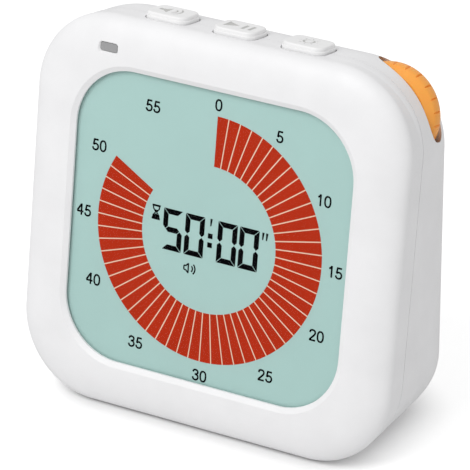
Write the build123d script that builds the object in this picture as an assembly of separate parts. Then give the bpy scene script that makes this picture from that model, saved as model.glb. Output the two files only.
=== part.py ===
from build123d import *
import os
from math import cos, hypot, pi, radians, sin, sqrt, tan

# Visual countdown timer: a wedge shaped desk timer with a dial screen, three keys and a corner wheel.
#
# Millimetres.  X runs to the right, Y to the back and Z up.  The origin is at the middle of the base,
# on the surface that the feet stand on.
#
# Most pieces lie along the leaning face.  Their places are given in the face's own directions:
# x across, v up along the face from its centre, and d, the depth behind the flat of the face.

# ---------------------------------------------------------------- driving sizes

# Case
case_width = 88.0
case_height = 84.9  # along the face
case_depth = 40.0  # at the base
lean = radians(8.2)  # the face leans back
wall = 2.0
corner_radius = 17.8
nose_reach = 8.0  # the front edge rolls in over this much of the face
nose_depth = 3.85
back_draw = 0.4  # each side draws in by this towards the back
back_corner_radius = 18.4
back_radius = 17.0  # rounding of the back at the sides and the top
base_radius = 8.0  # rounding of the back at the base
parting_depth = 8.7
parting_groove = 0.12
tongue_thickness = 0.9
tongue_length = 1.5

# Clearances
slip = 0.1  # between pieces that drop into each other
running = 0.05  # on the radius of a turning shaft
key_gap = 0.25  # around a key
rest_gap = 0.25  # under a part that stops on a wall
screw_play = 0.15  # on the radius of a hole that a screw drops through
thread_play = 0.02  # on the radius of a hole that a screw bites into
hole_spare = 0.3  # a blind screw hole runs on past the tip by this
post_gap = 0.6  # between the display frame and a case post beside it
board_play = 0.4  # between a board's edge and what it clears

# Screen
screen_side = 11.2  # from the side of the case to the opening
screen_end = 10.65  # from the top or the base edge of the face to the opening
screen_radius = 13.3
screen_bevel = 1.1
screen_bevel_depth = 0.65
lip_depth = 1.2
window_flange = 1.0
window_thickness = 0.4
window_gap = 0.1  # keeps the window off the film
film_thickness = 0.2
glass_overlap = 1.8
glass_thickness = 2.2
guide_thickness = 2.5
guide_edge = 1.0  # room beside the light guide for its side lights
side_light_length = 3.0
side_light_height = 1.4
side_light_gap = 0.05
strip_thickness = 0.8
strip_end = 6.6  # from the side of the glass to the end of a contact strip
strip_gap = 0.2  # between a contact strip and the light guide

# Display frame
frame_wall = 0.9
frame_back = 1.2
corner_cut = 5.8  # off each corner of the frame and the main board
ear_radius = 2.3
ear_post_radius = 2.0
ear_gap = 0.4  # between the frame's side and the round of an ear
ear_end = 14.6  # from the top or the base of the frame to an ear
hook_width = 1.2
hook_lip = 0.6
hook_height = 0.8

# Main board and what it carries
board_thickness = 1.6
board_standoff = 0.7
board_screw_inset = 7.6
tab_reach = 3.4  # half the width of the board's lamp tab
chip_size = 12.0
chip_height = 1.4
chip_lift = 0.1
chip_edge = 0.2
leg_length = 1.2
leg_width = 0.5
leg_height = 0.6
leg_pitch = 1.2
legs_aside = 4  # legs on each side of a middle one
crystal_x = 14.0
crystal_width = 3.4
crystal_length = 9.4
crystal_height = 3.2
crystal_corner = 1.6
crystal_edge = 0.4
can_x = -20.0
can_v = -9.0
can_pitch = 7.5
can_radius = 2.6
can_height = 6.4
can_groove = 0.25
can_groove_low = 1.0
can_groove_width = 0.5
led_width = 2.0
led_length = 1.25
led_height = 0.8

# Keys on the top, their board and switches
key_length = 10.0
key_width = 7.8
key_corner = 2.2
key_proud = 1.5
key_step = 0.25  # the upper tier of a key is this much smaller all round
key_step_height = 0.7  # top of the lower tier, above the case
key_step_edge = 0.15
key_edge = 0.4
key_pitch = 16.0
key_skin = 1.2
key_flange = 0.8
key_travel = 0.5
key_stem_wall = 0.4
symbol_half = 1.8
symbol_depth = 0.15
key_board_thickness = 1.0
key_board_half_d = 4.9
switch_size = 4.5
switch_height = 1.6
switch_corner = 0.4
plunger_radius = 1.1
plunger_rise = 0.9
plunger_seat = 0.2
ribbon_width = 8.0
ribbon_thickness = 0.3
ribbon_fall = 2.6  # below the key board
ribbon_off = 2.2  # behind the main board

# Corner wheel
wheel_radius = 10.55
wheel_width = 5.6
wheel_offset = 6.2  # its axis lies this far out from the centre of the case's corner, both ways
wheel_depth = 13.2  # front face of the wheel
wheel_rim = 2.6
wheel_bevel = 1.65  # the flat sides of the wheel end this far inside its rim
wheel_bevel_width = 1.5
wheel_crown = 0.25
wheel_edge = 0.3
wheel_web = 2.2
wheel_web_root = 0.2
wheel_hub = 3.4
wheel_notches = 23
first_notch = 11.9  # degrees from the x direction towards v
notch_width = 0.6
notch_depth = 0.4
slot_play = 1.1  # around the rim
slot_side_play = 0.25
slot_corner = 2.6
shaft_radius = 1.5
shaft_end_gap = 0.2
shaft_foot_gap = 0.7
encoder_size = 7.0
encoder_height = 2.4
encoder_corner = 0.5
bearing_wall = 1.5
bearing_depth = 3.4

# Indicator lamp
lamp_side = 18.1  # from the side of the case
lamp_end = 6.55  # from the top edge of the face
lamp_width = 3.95
lamp_height = 1.75
lamp_corner = 0.45
lamp_bevel = 0.5
lamp_recess = 0.45
lamp_collar = 0.8  # wall of the guide around the light pipe
lamp_flange = 0.3  # the light pipe's rim stands out by this
lamp_flange_length = 0.8

# Battery bay and its door
cell_radius = 5.25
cell_length = 44.5
cell_edge = 0.5
cell_nub = 0.8
cell_nub_radius = 1.9
cell_pitch = 11.2
cell_play = 0.4
cell_door_gap = 0.5
cell_floor_gap = 0.3
plate_half = 4.2
plate_thickness = 0.4
spring_length = 4.2
spring_radius = 3.2
spring_wire = 0.25
spring_gap = 0.05
spring_turns = 3
spring_cone = -14  # degrees
bay_wall = 1.4
bay_drop = 10.7  # top of the bay, below the middle of the speaker
door_thickness = 1.6
door_rim = 0.75
door_gap = 0.3
door_corner = 2.5
door_barrel = 0.3  # the hinge barrel is this much thicker than half the door
door_pin_radius = 0.6
door_pin_length = 1.3
catch_x = 8.0
catch_width = 4.0
catch_length = 1.8
catch_thickness = 1.4
catch_gap = 0.3
catch_root = 0.5
thumb_radius = 3.4
thumb_depth = 0.8
grip_width = 10.0
grip_height = 0.7
grip_depth = 0.4
grip_pitch = 1.6
grip_end = 4.0  # from the top of the door to its first grip groove
grip_grooves = 4

# Speaker
speaker_radius = 8.5
speaker_height = 3.6
speaker_drop = 20.9  # its middle, below the line of the roof
speaker_wall = 1.3
speaker_seat = 4.1  # from the back of the case to the speaker's gasket
speaker_step = 1.2
speaker_step_width = 1.8
cone_depth = 0.5
cone_gap = 0.3
gasket_width = 2.0
gasket_thickness = 0.3
grille_hole = 0.7
grille_pitch = 2.4
grille_rings = 2

# Wires
lead_radius = 0.6
lead_bend = 1.4
lead_stub = 3.4  # straight run where a wire leaves its piece
lead_rise = 3.6  # straight run where it comes down to the board
battery_lead_x = 16.0
battery_lead_pitch = 4.0
battery_lead_z = 30.0
battery_lead_fall = 8.0
speaker_lead_x = 1.6
speaker_lead_drop = 2.0
speaker_lead_v = 16.0

# Screws and feet
boss_radius = 2.4
boss_end = 14.95  # from the top or the base edge of the face
wheel_post_gap = 5.7  # between the wheel's slot and the screw post below it
screw_radius = 1.1
screw_head_radius = 2.0
screw_head_height = 1.5
screw_length = 7.0
screw_seat = 2.4
driver_hole_radius = 2.6
driver_hole_wall = 0.9
small_screw_radius = 0.85
small_head_radius = 1.5
small_head_height = 1.0
frame_screw_length = 4.5
board_screw_spare = 0.2
foot_radius = 3.5
foot_thickness = 1.2
foot_proud = 0.4
foot_edge = 0.2
foot_side = 1.2  # from the round of the case's corner to a foot
foot_end = 0.9  # from the round of the back to a foot

# Shares of a screw head's own size
head_round = 0.35
cross_reach = 0.62
cross_width = 0.34
cross_floor = 0.45

# ---------------------------------------------------------------- the leaning face

half_width = case_width / 2
half_height = case_height / 2
back_y = case_depth / 2
rolled_low = hypot(nose_depth * cos(lean), nose_reach * sin(lean))
face_y = -back_y + (half_height - nose_reach) * sin(lean) - nose_depth * cos(lean) + rolled_low
face_z = foot_proud + half_height * cos(lean) + nose_depth * sin(lean)


def face_plane(depth):
    """Plane parallel to the face, looking out of it: its own x and y are x and v."""
    origin = (0, face_y + depth * cos(lean), face_z - depth * sin(lean))
    return Plane(origin=origin, x_dir=(1, 0, 0), z_dir=(0, -cos(lean), sin(lean)))


def roof_plane(height):
    """Plane square to the face, looking up along it: its own x and y are x and depth."""
    origin = (0, face_y + height * sin(lean), face_z + height * cos(lean))
    return Plane(origin=origin, x_dir=(1, 0, 0), z_dir=(0, sin(lean), cos(lean)))


def upright_plane(y):
    """Vertical plane: its own x and y are X and Z, and it looks to the front."""
    return Plane(origin=(0, y, 0), x_dir=(1, 0, 0), z_dir=(0, -1, 0))


def slab(shape, near, far):
    """A sketch in x and v, made solid between two depths behind the face."""
    return extrude(face_plane(far) * shape, amount=far - near)


def column(shape, low, high):
    """A sketch in x and depth, made solid between two heights along the face."""
    return extrude(roof_plane(low) * shape, amount=high - low)


def block(shape, front, back):
    """A sketch in X and Z, made solid between two places along Y."""
    return extrude(upright_plane(back) * shape, amount=back - front)


def rectangle(left, right, low, high, corner=0.0):
    """Sketch of a rectangle between its edges, with rounded corners if asked."""
    size = (right - left, high - low)
    shape = RectangleRounded(*size, corner) if corner > 0 else Rectangle(*size)
    return Pos((left + right) / 2, (low + high) / 2) * shape


def disc(x, v, radius):
    return Pos(x, v) * Circle(radius)


def clipped(half_x, half_v, clip):
    """Sketch of a rectangle with its corners cut off."""
    return chamfer(Rectangle(2 * half_x, 2 * half_v).vertices(), clip)


def place(x, v, depth):
    """Point of the face's directions, in the timer's own frame."""
    y = face_y + v * sin(lean) + depth * cos(lean)
    return (x, y, face_z + v * cos(lean) - depth * sin(lean))


into_face = Axis(place(0, 0, 0), (0, cos(lean), -sin(lean)))
up_face = Axis(place(0, 0, 0), (0, sin(lean), cos(lean)))

# ---------------------------------------------------------------- outer form

reach_all = 4 * case_width  # longer than anything on the case
reach_out = 3.0  # how far a cutting tool runs past the surface it opens
roof_at_origin = face_z + half_height / cos(lean) + face_y * tan(lean)
straight_y = back_y - back_radius  # the rounding of the back starts here
nose_top_y = face_y + half_height * sin(lean) + nose_depth * cos(lean)
tail_y = nose_top_y + (straight_y - nose_top_y) / 4
tail_sections = 9


def face_outline(inset):
    """Outline of the case in a plane parallel to the face, drawn in by inset."""
    side = half_width - inset
    low = (foot_proud + inset - face_z + nose_depth * sin(lean)) / cos(lean)
    return rectangle(-side, side, low, half_height - inset, corner_radius - inset)


def upright_outline(inset, y):
    """Outline of the case in a vertical plane, drawn in by inset."""
    draw = rounding(back_radius - inset, y - straight_y)
    lift = rounding(base_radius - inset, y - (back_y - base_radius))
    share = min((y - face_y) / (straight_y - face_y), 1)
    half = half_width - back_draw * share - inset - draw
    roof = roof_at_origin - inset / cos(lean) - tan(lean) * y - draw
    corner = corner_radius + (back_corner_radius - corner_radius) * share - inset - draw
    return upright_plane(y) * rectangle(-half, half, foot_proud + inset + lift, roof, corner)


def rounding(radius, past):
    """How far a round edge has drawn in, this far past its start."""
    past = min(max(past, 0), radius)
    return radius - sqrt(radius**2 - past**2)


def nose(inset):
    """Front of the case: a plate with a round edge, squeezed in depth so that the edge is an ellipse."""
    reach = nose_reach - inset
    roll = nose_depth - inset
    plate = extrude(face_outline(inset), 2 * reach)
    plate = fillet(plate.faces().sort_by(Axis.Z)[-1].edges(), reach)
    plate = scale(plate, by=(1, 1, roll / reach))
    plate = face_plane(inset + 2 * roll) * plate
    return plate & slab(Rectangle(reach_all, reach_all), -reach_out, nose_depth)


def case_form(inset):
    """The whole case as one solid, drawn in by inset: rolled nose, wedge with a level base, round back."""
    front = face_plane(nose_depth) * face_outline(inset)
    wedge = loft([front, upright_outline(inset, tail_y)], ruled=True)
    places = [tail_y, (tail_y + straight_y) / 2, straight_y]
    for step in range(1, tail_sections + 1):
        places.append(straight_y + (back_radius - inset) * sin(pi / 2 * step / tail_sections))
    tail = loft([upright_outline(inset, y) for y in places])
    return nose(inset) + wedge + tail


outer_form = case_form(0)
inner_form = case_form(wall)


def slice_of_case(inset, near, far):
    """The case drawn in by inset, kept only between two depths behind the face."""
    return case_form(inset) & slab(Rectangle(reach_all, reach_all), near, far)


# ---------------------------------------------------------------- shared places

# Screen opening, and the depths of the display stack from front to back
screen_width = case_width - 2 * screen_side
screen_height = case_height - 2 * screen_end
window_back = lip_depth + window_thickness
film_front = window_back + window_gap
film_back = film_front + film_thickness
glass_back = wall + glass_thickness
guide_back = glass_back + guide_thickness
frame_back_face = guide_back + frame_back
board_front = frame_back_face + board_standoff
board_back = board_front + board_thickness

# Display glass, light guide and frame
glass_half_x = screen_width / 2 + glass_overlap
glass_half_v = screen_height / 2 + glass_overlap
guide_half_x = glass_half_x - guide_edge
guide_half_v = glass_half_v - strip_thickness - strip_gap
frame_margin = frame_wall + slip
frame_half_x = glass_half_x + frame_margin
frame_half_v = glass_half_v + frame_margin
glass_cut = corner_cut - (2 - sqrt(2)) * frame_margin
ear_x = frame_half_x + ear_radius + ear_gap
ear_v = frame_half_v - ear_end
ear_places = [(side * ear_x, v) for side in (-1, 1) for v in (-ear_v, ear_v)]
frame_screw_tip = frame_back_face - frame_screw_length
board_screw_x = glass_half_x - board_screw_inset
board_screw_v = glass_half_v - board_screw_inset
board_screw_places = [
    (x, v) for x in (-board_screw_x, board_screw_x) for v in (-board_screw_v, board_screw_v)
]
board_screw_tip = guide_back + board_screw_spare

# Indicator lamp
lamp_x = lamp_side - half_width
lamp_v = half_height - lamp_end
lamp_guide_back = 2 * wall

# Keys
key_places = {"sound": -key_pitch, "start": 0.0, "light": key_pitch}
key_top = half_height + key_proud
flange_top = half_height - wall - rest_gap
flange_low = flange_top - key_flange
key_board_low = frame_half_v
key_board_high = key_board_low + key_board_thickness
key_board_half_x = key_pitch + switch_size
switch_high = key_board_high + switch_height
plunger_floor = key_board_high + plunger_seat
plunger_low = plunger_floor + key_travel + slip
plunger_high = switch_high + plunger_rise

# Wheel
wheel_x = half_width - corner_radius + wheel_offset
wheel_v = half_height - corner_radius + wheel_offset
wheel_back = wheel_depth + wheel_width
slot_radius = wheel_radius + slot_play
bearing_radius = shaft_radius + running
bearing_front = wheel_back + 2 * slot_side_play
shaft_end = bearing_front + bearing_depth - shaft_end_gap
shaft_start = board_back + shaft_foot_gap
encoder_back = board_back + encoder_height

# Case screws: two on each side, the upper right one below the wheel
post_radius = driver_hole_radius + driver_hole_wall
boss_x = frame_half_x + boss_radius + post_gap
boss_v = half_height - boss_end
boss_root = 0.75 * wall
boss_places = [
    (-boss_x, boss_v),
    (-boss_x, -boss_v),
    (boss_x, -boss_v),
    (boss_x, wheel_v - slot_radius - wheel_post_gap - post_radius),
]
head_seat = parting_depth + screw_seat
screw_tip = head_seat - screw_length

# Speaker
speaker_z = roof_at_origin - speaker_drop
seat_y = back_y - speaker_seat
speaker_back = seat_y - gasket_thickness
speaker_front = speaker_back - speaker_height
speaker_hole = speaker_radius - gasket_width - 2 * slip

# Battery bay
door_face = back_y - door_thickness
cell_y = door_face - cell_door_gap - cell_radius
bay_front = cell_y - cell_radius - cell_floor_gap
bay_half = (cell_length + spring_length + 2 * plate_thickness) / 2
bay_high = speaker_z - bay_drop
bay_low = bay_high - 2 * cell_pitch - 2 * (cell_radius + cell_play)
cell_heights = [bay_low + cell_play + cell_radius + row * cell_pitch for row in range(3)]
plate_face = bay_half - plate_thickness
door_half = bay_half + door_rim
door_low = bay_low - door_rim
door_high = bay_high + door_rim
barrel_radius = door_thickness / 2 + door_barrel
hinge_y = back_y - barrel_radius
hinge_z = door_low + barrel_radius

# Feet, on the flat of the base
foot_x = half_width - corner_radius - foot_radius - foot_side
foot_y = back_y - base_radius - foot_radius - foot_end
foot_places = [(x, y) for x in (-foot_x, foot_x) for y in (-foot_y, foot_y)]


def screen_outline(margin):
    size = (screen_width + 2 * margin, screen_height + 2 * margin)
    return RectangleRounded(*size, screen_radius + margin)


def lamp_outline(margin):
    size = (lamp_width + 2 * margin, lamp_height + 2 * margin)
    return Pos(lamp_x, lamp_v) * RectangleRounded(*size, lamp_corner + margin)


def lamp_guide(margin):
    size = (lamp_width + 2 * margin, lamp_height + 2 * margin)
    return Pos(lamp_x, lamp_v) * Rectangle(*size)


def key_outline(x, margin):
    size = (key_length + 2 * margin, key_width + 2 * margin)
    return Pos(x, parting_depth) * RectangleRounded(*size, key_corner + margin)


# ---------------------------------------------------------------- the two shells


def front_case():
    shell = slice_of_case(0, -reach_out, parting_depth) - inner_form

    # Posts for the case screws and the frame screws, and the guide around the light pipe
    for x, v in boss_places:
        shell += slab(disc(x, v, boss_radius), boss_root, parting_depth - slip)
    for x, v in ear_places:
        shell += slab(disc(x, v, ear_post_radius), boss_root, guide_back)
    shell += slab(lamp_guide(lamp_collar), lip_depth, lamp_guide_back)
    for x, v in boss_places:
        shell -= slab(disc(x, v, screw_radius + thread_play), screw_tip - hole_spare, parting_depth)
    for x, v in ear_places:
        hole = disc(x, v, small_screw_radius + thread_play)
        shell -= slab(hole, frame_screw_tip - hole_spare, guide_back)

    # Rebate for the rear shell's tongue
    rebate = wall - tongue_thickness - slip
    shell -= slice_of_case(rebate, parting_depth - tongue_length - slip, parting_depth)

    # Screen opening with its bevel and the seat of the window behind it
    shell -= slab(screen_outline(0), -reach_out, wall + slip)
    shell -= flare(screen_outline(screen_bevel), screen_outline(0), screen_bevel_depth)
    shell -= slab(screen_outline(window_flange + slip), lip_depth, wall + slip)

    # Lamp hole with its bevel
    shell -= slab(lamp_outline(slip), -reach_out, lamp_guide_back)
    shell -= flare(lamp_outline(lamp_bevel), lamp_outline(slip), lamp_recess)

    for hole in key_holes():
        shell -= hole
    return shell


def rear_case():
    edge = parting_depth + parting_groove
    shell = slice_of_case(0, edge, reach_all) - inner_form
    tongue = slice_of_case(wall - tongue_thickness, parting_depth - tongue_length, edge + wall)
    shell += tongue - inner_form

    # Screw posts, wheel bearing, battery box and speaker cup, all trimmed to the case
    inside = slab(disc(wheel_x, wheel_v, bearing_radius + bearing_wall), bearing_front, reach_all)
    for x, v in boss_places:
        inside += slab(disc(x, v, post_radius), parting_depth, reach_all)
    box_side = bay_half + bay_wall
    box = rectangle(-box_side, box_side, bay_low - bay_wall, bay_high + bay_wall)
    inside += block(box, bay_front - bay_wall, back_y)
    cup = disc(0, speaker_z, speaker_radius + slip + speaker_wall)
    inside += block(cup, speaker_front, back_y)
    shell += inside & outer_form

    # Screw holes
    for x, v in boss_places:
        shell -= slab(disc(x, v, screw_radius + screw_play), 0, head_seat)
        shell -= slab(disc(x, v, driver_hole_radius), head_seat, reach_all)

    # Wheel slot with rounded corners, and the wheel's bearing
    slot = disc(wheel_x, wheel_v, slot_radius)
    slot = slab(slot, wheel_depth - slot_side_play, wheel_back + slot_side_play)
    shell -= fillet(slot.edges().filter_by(GeomType.CIRCLE), slot_corner)
    shell -= slab(disc(wheel_x, wheel_v, bearing_radius), bearing_front, bearing_front + bearing_depth)

    for hole in key_holes():
        shell -= hole

    # Battery box, door recess, hinge bores and thumb notch
    shell -= block(rectangle(-bay_half, bay_half, bay_low, bay_high), bay_front, back_y + reach_out)
    side = door_half + door_gap
    recess = rectangle(-side, side, door_low - door_gap, door_high + door_gap, door_corner + door_gap)
    shell -= block(recess, door_face - slip, back_y + reach_out)
    shell -= hinge_rod(barrel_radius + door_gap, side)
    shell -= hinge_rod(door_pin_radius + running, door_half + door_pin_length + slip)
    shell -= block(disc(0, door_high, thumb_radius), back_y - thumb_depth, back_y + reach_out)

    # Speaker cup and grille
    shell -= block(disc(0, speaker_z, speaker_radius + slip), 0, seat_y)
    shell -= block(disc(0, speaker_z, speaker_hole), 0, back_y - wall)
    for x, z in grille_places():
        shell -= block(disc(x, z, grille_hole), seat_y, back_y + reach_out)

    # Pockets for the feet
    for x, y in foot_places:
        shell -= Pos(x, y, -reach_out) * extrude(Circle(foot_radius + slip), reach_out + foot_thickness)
    return shell


def flare(wide, narrow, depth):
    """Cutter for a bevel around an opening in the face."""
    return loft([face_plane(0) * wide, face_plane(depth) * narrow])


def key_holes():
    return [column(key_outline(x, key_gap), flange_top, key_top + reach_out) for x in key_places.values()]


def hinge_rod(radius, half_length):
    """Rod along the door's hinge axis."""
    plane = Plane(origin=(-half_length, hinge_y, hinge_z), z_dir=(1, 0, 0))
    return extrude(plane * Circle(radius), 2 * half_length)


def grille_places():
    """Holes of the speaker grille: one in the middle and rings of six, twelve and so on."""
    places = [(0.0, speaker_z)]
    for ring in range(1, grille_rings + 1):
        count = 6 * ring
        for step in range(count):
            turn = 2 * pi * step / count
            places.append((ring * grille_pitch * cos(turn), speaker_z + ring * grille_pitch * sin(turn)))
    return places


# ---------------------------------------------------------------- display


def display_window():
    return slab(screen_outline(window_flange), lip_depth, window_back)


def dial_film():
    return slab(screen_outline(window_flange - slip), film_front, film_back)


def lcd_panel():
    return slab(clipped(glass_half_x, glass_half_v, glass_cut), wall, glass_back)


def backlight_panel():
    return slab(clipped(guide_half_x, guide_half_v, glass_cut), glass_back, guide_back)


def backlight_leds():
    """Three side lights along the left edge of the light guide."""
    middle = (glass_back + guide_back) / 2
    front = middle - side_light_height / 2
    edges = (-glass_half_x, -guide_half_x - side_light_gap)
    leds = []
    for v in (-guide_half_v / 2, 0, guide_half_v / 2):
        shape = rectangle(*edges, v - side_light_length / 2, v + side_light_length / 2)
        leds.append(slab(shape, front, front + side_light_height))
    return Compound(children=leds)


def contact_strips():
    """Two rubber strips that join the glass to the board."""
    strips = [slab(strip_outline(side, 0), glass_back, board_front) for side in (-1, 1)]
    return Compound(children=strips)


def strip_outline(side, margin):
    middle = side * (glass_half_v - strip_thickness / 2)
    length = 2 * (glass_half_x - strip_end + margin)
    return Pos(0, middle) * Rectangle(length, strip_thickness + 2 * margin)


def lcd_frame():
    """Tray that holds the glass and the light guide, with ears, standoffs and hooks for the key board."""
    tray = slab(clipped(frame_half_x, frame_half_v, corner_cut), wall + slip, frame_back_face)
    tray -= slab(clipped(glass_half_x + slip, glass_half_v + slip, glass_cut), 0, guide_back)
    tray -= slab(lamp_guide(lamp_collar + slip), 0, lamp_guide_back + slip)
    for side in (-1, 1):
        tray -= slab(strip_outline(side, slip), 0, frame_back_face)
    for x, v in ear_places:
        inner = x - 2 * ear_radius if x > 0 else x + 2 * ear_radius
        ear = rectangle(min(inner, x), max(inner, x), v - ear_radius, v + ear_radius)
        tray += slab(ear + disc(x, v, ear_radius), guide_back, frame_back_face)
        tray -= slab(disc(x, v, small_screw_radius + screw_play), 0, frame_back_face)
    for x, v in board_screw_places:
        tray += slab(disc(x, v, ear_radius), frame_back_face, board_front)
        tray -= slab(disc(x, v, small_screw_radius + thread_play), board_screw_tip - slip, board_front)

    # A hook at each end of the key board
    front = parting_depth - key_board_half_d + slip
    low = key_board_high + slip
    high = low + hook_height
    for side in (-1, 1):
        near = side * (key_board_half_x + slip)
        far = near + side * hook_width
        lip = near - side * hook_lip
        post = rectangle(min(near, far), max(near, far), front, frame_back_face)
        tray += column(post, frame_half_v - frame_wall, high)
        tray += column(rectangle(min(lip, far), max(lip, far), front, frame_back_face), low, high)
    return tray


# ---------------------------------------------------------------- boards


def main_board():
    """Its two tabs carry the lamp's light and the wheel's encoder."""
    tab_top = lamp_v + lamp_height
    lamp_tab = rectangle(lamp_x - tab_reach, lamp_x + tab_reach, glass_half_v - tab_reach, tab_top)
    half = encoder_size / 2 + board_play
    wheel_tab = rectangle(wheel_x - 2 * half, wheel_x + half, wheel_v - 2 * half, wheel_v + half)
    outline = clipped(glass_half_x, glass_half_v, corner_cut) + lamp_tab + wheel_tab
    board = slab(outline, board_front, board_back)
    for x, v in board_screw_places:
        board -= slab(disc(x, v, small_screw_radius + screw_play), 0, reach_all)
    return board


def timer_chip():
    """Square chip with a row of legs on each side."""
    half = chip_size / 2
    body_front = board_back + chip_lift
    chip = slab(Rectangle(chip_size, chip_size), body_front, body_front + chip_height)
    chip = chamfer(chip.faces().sort_by(into_face)[-1].edges(), chip_edge)
    legs = [chip]
    for step in range(-legs_aside, legs_aside + 1):
        for turn in (0, 90, 180, 270):
            middle = Pos(half - slip + leg_length / 2, leg_pitch * step)
            leg = Rot(0, 0, turn) * middle * Rectangle(leg_length, leg_width)
            legs.append(slab(leg, board_back, board_back + leg_height))
    return Compound(children=legs)


def crystal_can():
    shape = Pos(crystal_x, 0) * RectangleRounded(crystal_width, crystal_length, crystal_corner)
    can = slab(shape, board_back, board_back + crystal_height)
    return fillet(can.faces().sort_by(into_face)[-1].edges(), crystal_edge)


def capacitors():
    """Two upright cans, each with a groove round its foot."""
    cans = []
    low = board_back + can_groove_low
    for v in (can_v, can_v - can_pitch):
        can = slab(disc(can_x, v, can_radius), board_back, board_back + can_height)
        groove = disc(can_x, v, can_radius + slip) - disc(can_x, v, can_radius - can_groove)
        cans.append(can - slab(groove, low, low + can_groove_width))
    return Compound(children=cans)


def indicator_led():
    shape = Pos(lamp_x, lamp_v) * Rectangle(led_width, led_length)
    return slab(shape, board_front - led_height, board_front)


def lamp_lens():
    """Light pipe from the lens at the face back to its light."""
    pipe = slab(lamp_outline(0), lamp_recess, board_front - led_height - slip)
    return pipe + slab(lamp_outline(lamp_flange), lamp_guide_back, lamp_guide_back + lamp_flange_length)


def button_board():
    shape = Pos(0, parting_depth) * Rectangle(2 * key_board_half_x, 2 * key_board_half_d)
    return column(shape, key_board_low, key_board_high)


def button_ribbon():
    """Flat cable from the key board down to the back of the main board."""
    half = ribbon_width / 2
    near = board_back + ribbon_off
    far = near + ribbon_thickness
    low = key_board_low - ribbon_fall
    fall = column(rectangle(-half, half, near, far), low, key_board_low)
    return fall + slab(rectangle(-half, half, low, low + ribbon_thickness), board_back, far)


def switch_body(x):
    shape = RectangleRounded(switch_size, switch_size, switch_corner)
    body = column(Pos(x, parting_depth) * shape, key_board_high, switch_high)
    bore = Pos(x, parting_depth) * Circle(plunger_radius + running)
    return body - column(bore, plunger_floor, switch_high)


def switch_plunger(x):
    return column(Pos(x, parting_depth) * Circle(plunger_radius), plunger_low, plunger_high)


# ---------------------------------------------------------------- keys
#
# The symbols are drawn with a half height of one, and engraved at their real size.


def sound_symbol():
    """Loudspeaker with two sound waves."""
    corners = [(-1.73, -0.4), (-1.13, -0.4), (-0.4, -1), (-0.4, 1), (-1.13, 0.4), (-1.73, 0.4)]
    symbol = [make_face(Polyline(*corners, close=True))]
    for radius in (0.87, 1.47):
        ring = Pos(-0.4, 0) * (Circle(radius + 0.12) - Circle(radius - 0.12))
        symbol.append(ring & rectangle(0.07, 2, -0.8 * radius, 0.8 * radius))
    return symbol


def start_symbol():
    """Start triangle and two pause bars."""
    arrow = make_face(Polyline((-1.8, -1), (0.05, 0), (-1.8, 1), close=True))
    return [arrow, rectangle(0.4, 0.85, -0.9, 0.9), rectangle(1.3, 1.75, -0.9, 0.9)]


def light_symbol():
    """Ring with eight short rays."""
    ring = Circle(0.76) - Circle(0.5)
    rays = [Rot(0, 0, 45 * step) * rectangle(0.92, 1.2, -0.1, 0.1) for step in range(8)]
    return [ring, *rays]


key_symbols = {"sound": sound_symbol, "start": start_symbol, "light": light_symbol}


def key_cap(name):
    """Hollow key in two tiers, with a flange that keeps it in and a stem for its switch."""
    x = key_places[name]
    cap = column(key_outline(x, 0), flange_low, half_height + key_step_height)
    cap = fillet(cap.faces().sort_by(up_face)[-1].edges(), key_step_edge)
    tier = column(key_outline(x, -key_step), half_height, key_top)
    cap += fillet(tier.faces().sort_by(up_face)[-1].edges(), key_edge)
    cap += column(key_outline(x, key_flange), flange_low, flange_top)
    cap -= column(key_outline(x, -key_skin), flange_low, key_top - key_skin)
    stem = Pos(x, parting_depth) * Circle(plunger_radius + key_stem_wall)
    cap += column(stem, plunger_high, key_top - key_skin / 2)
    symbol = scale(Sketch() + key_symbols[name](), by=symbol_half)
    cap -= column(Pos(x, parting_depth) * symbol, key_top - symbol_depth, key_top + reach_out)
    return cap


# ---------------------------------------------------------------- corner wheel


def knob_wheel():
    """Wheel with bevelled sides, a crowned band with notches across it, a thinner web and a hub."""
    half = wheel_width / 2
    band = half - wheel_bevel_width
    rim_low = wheel_radius - wheel_rim
    flat_end = wheel_radius - wheel_bevel
    band_edge = wheel_radius - wheel_crown
    corners = [(band_edge, -band), (flat_end, -half), (rim_low, -half), (rim_low, half), (flat_end, half)]
    outline = make_face(
        Polyline(*corners, (band_edge, band))
        + ThreePointArc((band_edge, band), (wheel_radius, 0), (band_edge, -band))
    )
    outline = fillet(outline.vertices().group_by(Axis.X)[-1], wheel_edge)
    rim = revolve(Plane.XZ * outline, Axis.Z)
    web_ring = Circle(rim_low + wheel_web_root) - Circle(shaft_radius)
    web = Pos(0, 0, -wheel_web / 2) * extrude(web_ring, wheel_web)
    hub = Pos(0, 0, -half) * extrude(Circle(wheel_hub) - Circle(shaft_radius), wheel_width)
    wheel = rim + web + hub

    # A notch is cut a little past the rim, where its sides are that much further apart
    spread = notch_width / 2 * (1 + slip / notch_depth)
    past = wheel_radius + slip
    corners = [(wheel_radius - notch_depth, 0), (past, -spread), (past, spread)]
    notch = Pos(0, 0, -half) * extrude(make_face(Polyline(*corners, close=True)), wheel_width)
    for step in range(wheel_notches):
        wheel -= Rot(0, 0, first_notch + 360 * step / wheel_notches) * notch
    return face_plane(wheel_back) * Pos(wheel_x, wheel_v, half) * wheel


def knob_shaft():
    return slab(disc(wheel_x, wheel_v, shaft_radius), shaft_start, shaft_end)


def encoder_body():
    half = encoder_size / 2
    shape = rectangle(wheel_x - half, wheel_x + half, wheel_v - half, wheel_v + half, encoder_corner)
    body = slab(shape, board_back, encoder_back)
    return body - slab(disc(wheel_x, wheel_v, bearing_radius), shaft_start - slip, encoder_back)


# ---------------------------------------------------------------- battery bay


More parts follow.
